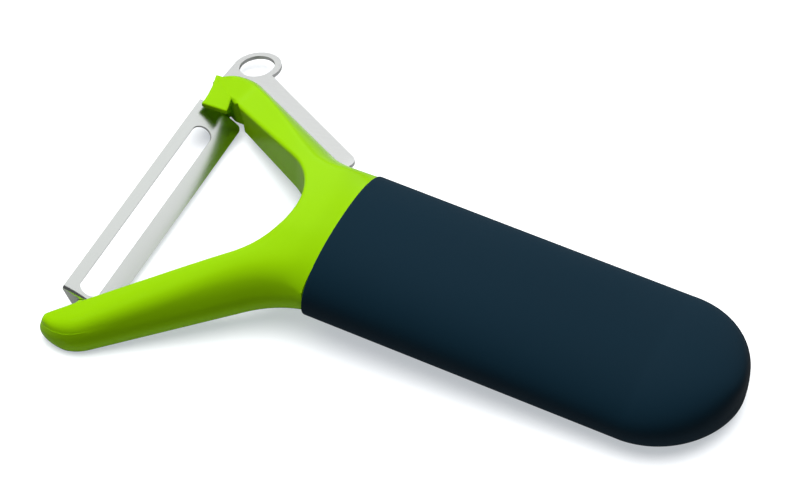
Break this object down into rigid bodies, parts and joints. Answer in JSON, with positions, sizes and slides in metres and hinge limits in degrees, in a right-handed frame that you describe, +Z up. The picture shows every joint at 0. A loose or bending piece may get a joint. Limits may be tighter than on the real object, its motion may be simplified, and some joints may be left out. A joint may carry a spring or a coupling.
{
  "type": "vegetable peeler",
  "caption": "Y-shaped vegetable peeler with a glossy green frame, a dark soft grip, a slotted swivel blade and a steel loop on one arm for potato eyes.",
  "frame": {"origin": "middle of the flat under the handle's end, on which the peeler lies", "axes": "+X along the handle towards its end, +Y along the blade towards the arm with the loop, +Z up"},
  "size_m": [0.1335, 0.0917, 0.0198],
  "materials": {
    "frame_green": "glossy",
    "grip_slate": "soft matte",
    "blade_steel": "polished",
    "loop_steel": "satin",
    "pin_steel": "satin"
  },
  "bodies": {
    "handle_body": {"frame": "frame_green", "grip": "grip_slate", "eye_remover": "loop_steel", "pivot_pin_left": "pin_steel", "pivot_pin_right": "pin_steel"},
    "blade_body": {"blade": "blade_steel"}
  },
  "joints": [
    {"name": "blade_swivel", "type": "hinge", "parent": "handle_body", "child": "blade_body", "pos_m": [-0.111, 0, 0.0038], "axis": [0, -1, 0], "range_deg": [0, 55]}
  ]
}
